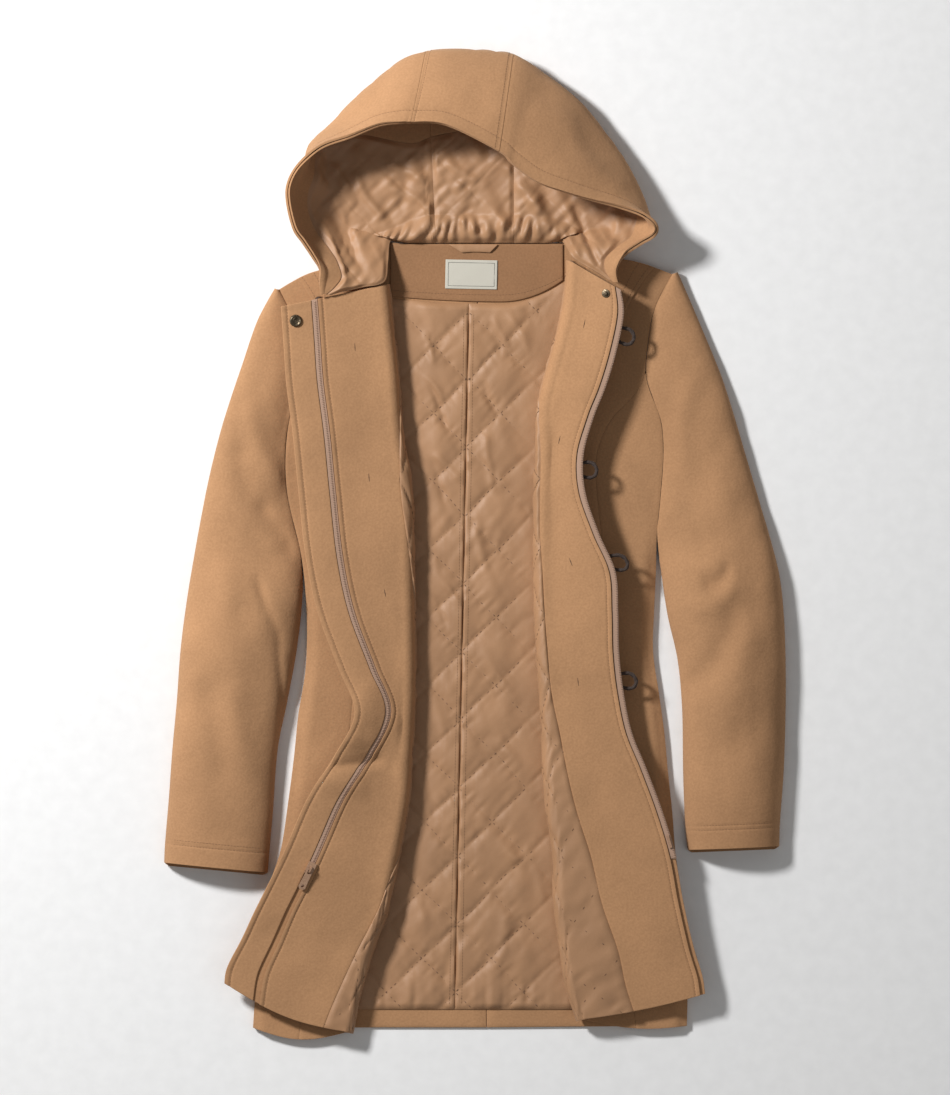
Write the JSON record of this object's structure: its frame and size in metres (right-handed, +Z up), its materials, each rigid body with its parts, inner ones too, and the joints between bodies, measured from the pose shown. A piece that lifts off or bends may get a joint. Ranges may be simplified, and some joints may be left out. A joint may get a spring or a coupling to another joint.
{
  "type": "duffle coat",
  "caption": "Hooded wool duffle coat laid open and flat, front edges folded back, with toggles, cord loops, a zip and a quilted satin lining.",
  "frame": {"origin": "centre of the coat's outline, on the flat surface it lies on", "axes": "+Z up from the surface, +Y towards the hood, +X towards the wearer's left sleeve"},
  "size_m": [0.684, 1.0871, 0.0792],
  "materials": {
    "wool": "camel wool melton, brushed",
    "facing": "camel wool melton, brushed",
    "satin": "tan satin lining",
    "tape": "woven zip tape",
    "label": "woven label cloth",
    "cord": "twisted cord, matt",
    "horn": "imitation horn",
    "zip_metal": "tan paint, matched to the zip tape",
    "brass": "antique brass"
  },
  "bodies": {
    "coat": {"front_right": "wool", "side_front_right": "wool", "front_yoke_right": "wool", "fly_placket": "wool", "front_left": "wool", "side_front_left": "wool", "front_yoke_left": "wool", "back_right": "wool", "back_left": "wool", "top_sleeve_right": "wool", "under_sleeve_right": "wool", "top_sleeve_left": "wool", "under_sleeve_left": "wool", "hood_right": "wool", "hood_centre": "wool", "hood_left": "wool", "facing_right": "facing", "facing_left": "facing", "back_neck_facing": "facing", "hood_facing_right": "facing", "hood_facing_centre": "facing", "hood_facing_left": "facing", "front_lining_right": "satin", "front_lining_left": "satin", "back_lining_right": "satin", "back_lining_left": "satin", "hood_lining_right": "satin", "hood_lining_centre": "satin", "hood_lining_left": "satin", "hanger_loop": "satin", "zip_tape_right": "tape", "zip_tape_left": "tape", "neck_label": "label", "cord_loop_1": "cord", "cord_loop_2": "cord", "cord_loop_3": "cord", "cord_loop_4": "cord", "toggle_cord_1": "cord", "toggle_cord_2": "cord", "toggle_cord_3": "cord", "toggle_cord_4": "cord", "toggle_1": "horn", "toggle_2": "horn", "toggle_3": "horn", "toggle_4": "horn", "snap_socket": "brass", "snap_stud": "brass", "zip_pin": "zip_metal", "zip_slider": "zip_metal"},
    "pull_tab": {"zip_pull": "zip_metal"}
  },
  "joints": [
    {"name": "pull_tab_hinge", "type": "hinge", "parent": "coat", "child": "pull_tab", "pos_m": [-0.17969, -0.35405, 0.04193], "axis": [-0.9006, 0.4154, 0.1282], "range_deg": [0, 160]}
  ]
}
